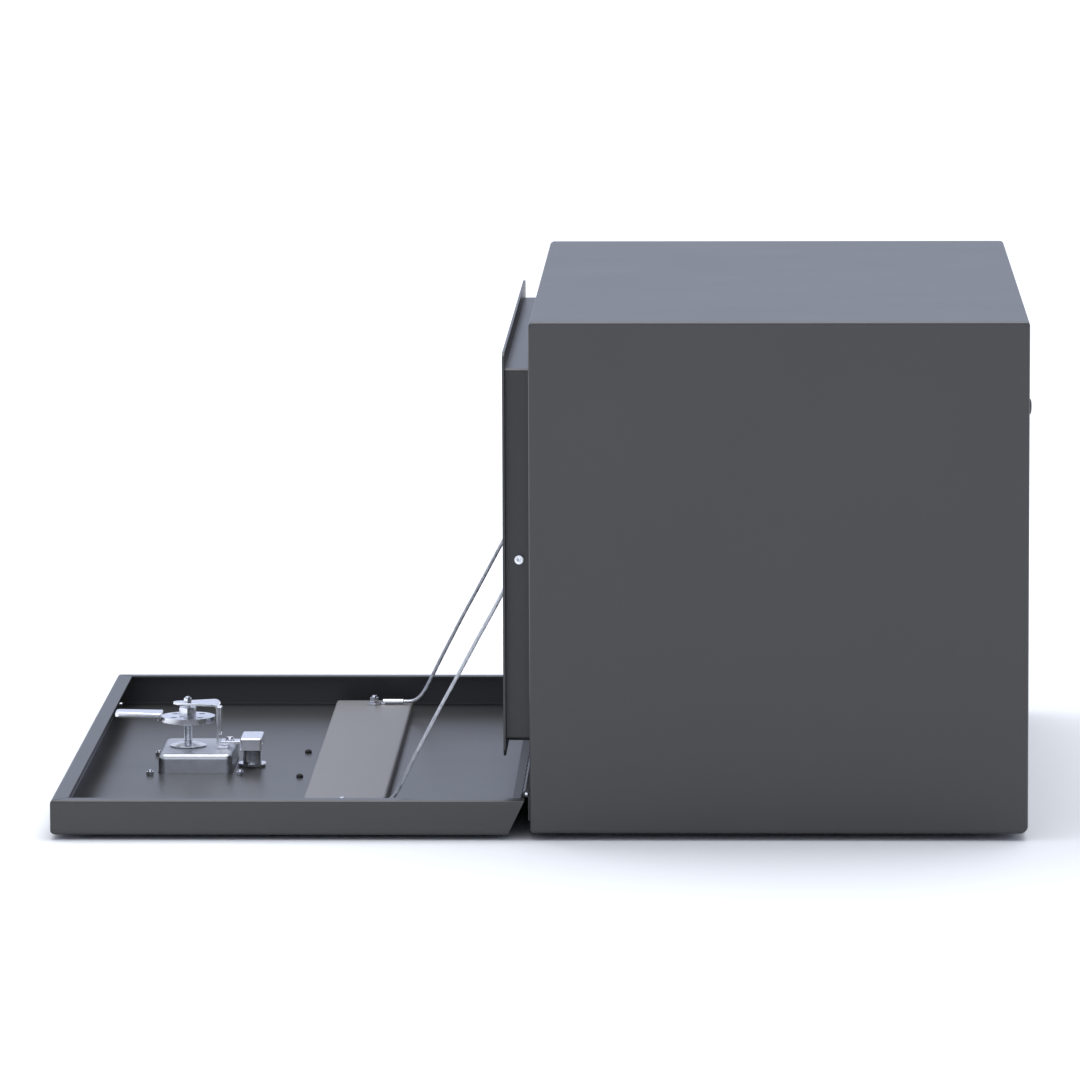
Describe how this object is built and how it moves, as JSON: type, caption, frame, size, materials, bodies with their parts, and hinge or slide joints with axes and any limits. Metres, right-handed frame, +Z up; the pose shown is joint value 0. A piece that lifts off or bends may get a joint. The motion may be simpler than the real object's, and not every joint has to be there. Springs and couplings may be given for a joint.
{
  "type": "drop-door storage box",
  "caption": "Welded steel storage box with a bottom-hinged drop-down door on stay cables, a collared opening, a folding T-handle cam latch and a key lock.",
  "frame": {"origin": "middle of the box's flat underside", "axes": "-X is the front with the door, +Y is the left end seen by someone facing the door, +Z is up"},
  "size_m": [0.8726, 0.762, 0.4632],
  "materials": {
    "black_paint": "satin black powder coat, fine texture",
    "channel_paint": "satin grey-black powder coat",
    "stainless": "satin stainless, drawn",
    "zinc": "bright zinc plate",
    "wire_rope": "galvanised wire rope, bright"
  },
  "bodies": {
    "box": {"body_shell": "black_paint", "right_end_panel": "black_paint", "left_end_panel": "black_paint", "front_panel": "black_paint", "door_collar": "black_paint", "right_back_plug": "black_paint", "left_back_plug": "black_paint", "hinge_box_leaf": "black_paint", "hinge_pin": "zinc", "right_anchor_bolt": "zinc", "right_anchor_nut": "zinc", "right_upper_cable_end": "zinc", "right_stay_cable": "wire_rope", "left_anchor_bolt": "zinc", "left_anchor_nut": "zinc", "left_upper_cable_end": "zinc", "left_stay_cable": "wire_rope"},
    "door": {"door_pan": "black_paint", "stiffener_channel": "channel_paint", "hinge_door_leaf": "black_paint", "latch_dish": "stainless", "latch_bracket": "zinc", "bow_spring": "zinc", "lock_housing": "stainless", "lock_ring_nut": "zinc", "lock_block": "zinc", "right_cable_bolt": "zinc", "right_cable_nut": "zinc", "right_lower_cable_end": "zinc", "left_cable_bolt": "zinc", "left_cable_nut": "zinc", "left_lower_cable_end": "zinc", "latch_bolt_1": "zinc", "latch_bolt_2": "zinc", "latch_bolt_3": "zinc", "latch_bolt_4": "zinc", "latch_nut_1": "zinc", "latch_nut_2": "zinc", "latch_nut_3": "zinc", "latch_nut_4": "zinc"},
    "latch_shaft": {"latch_stud": "zinc", "cam_disc": "zinc", "cam_arm": "zinc", "hub_nut": "zinc", "stud_top_nut": "zinc"},
    "t_handle": {"t_handle": "stainless", "handle_pin": "zinc"},
    "lock_plug": {"lock_plug": "stainless"},
    "lock_tongue": {"lock_tongue": "zinc", "tongue_screw": "zinc"}
  },
  "joints": [
    {"name": "door_hinge", "type": "hinge", "parent": "box", "child": "door", "pos_m": [-0.22485, 0, 0.033], "axis": [0, 1, 0], "range_deg": [0, 90], "deforming": ["right_stay_cable", "left_stay_cable"]},
    {"name": "latch_turn", "type": "hinge", "parent": "door", "child": "latch_shaft", "pos_m": [-0.55265, 0, 0], "axis": [0, 0, 1], "range_deg": [0, 90]},
    {"name": "handle_fold", "type": "hinge", "parent": "latch_shaft", "child": "t_handle", "pos_m": [-0.55265, 0, 0.0055], "axis": [0, 1, 0], "range_deg": [0, 85]},
    {"name": "lock_turn", "type": "hinge", "parent": "door", "child": "lock_plug", "pos_m": [-0.49235, -0.004, 0], "axis": [0, 0, 1], "range_deg": [0, 90]},
    {"name": "tongue_slide", "type": "slide", "parent": "door", "child": "lock_tongue", "axis": [1, 0, 0], "range_m": [0, 0.006]}
  ],
  "couplings": [
    {"joint": "latch_turn", "follows": "door_hinge", "ratio": 1},
    {"joint": "tongue_slide", "follows": "lock_turn", "m_per_rad": 0.0038197}
  ]
}
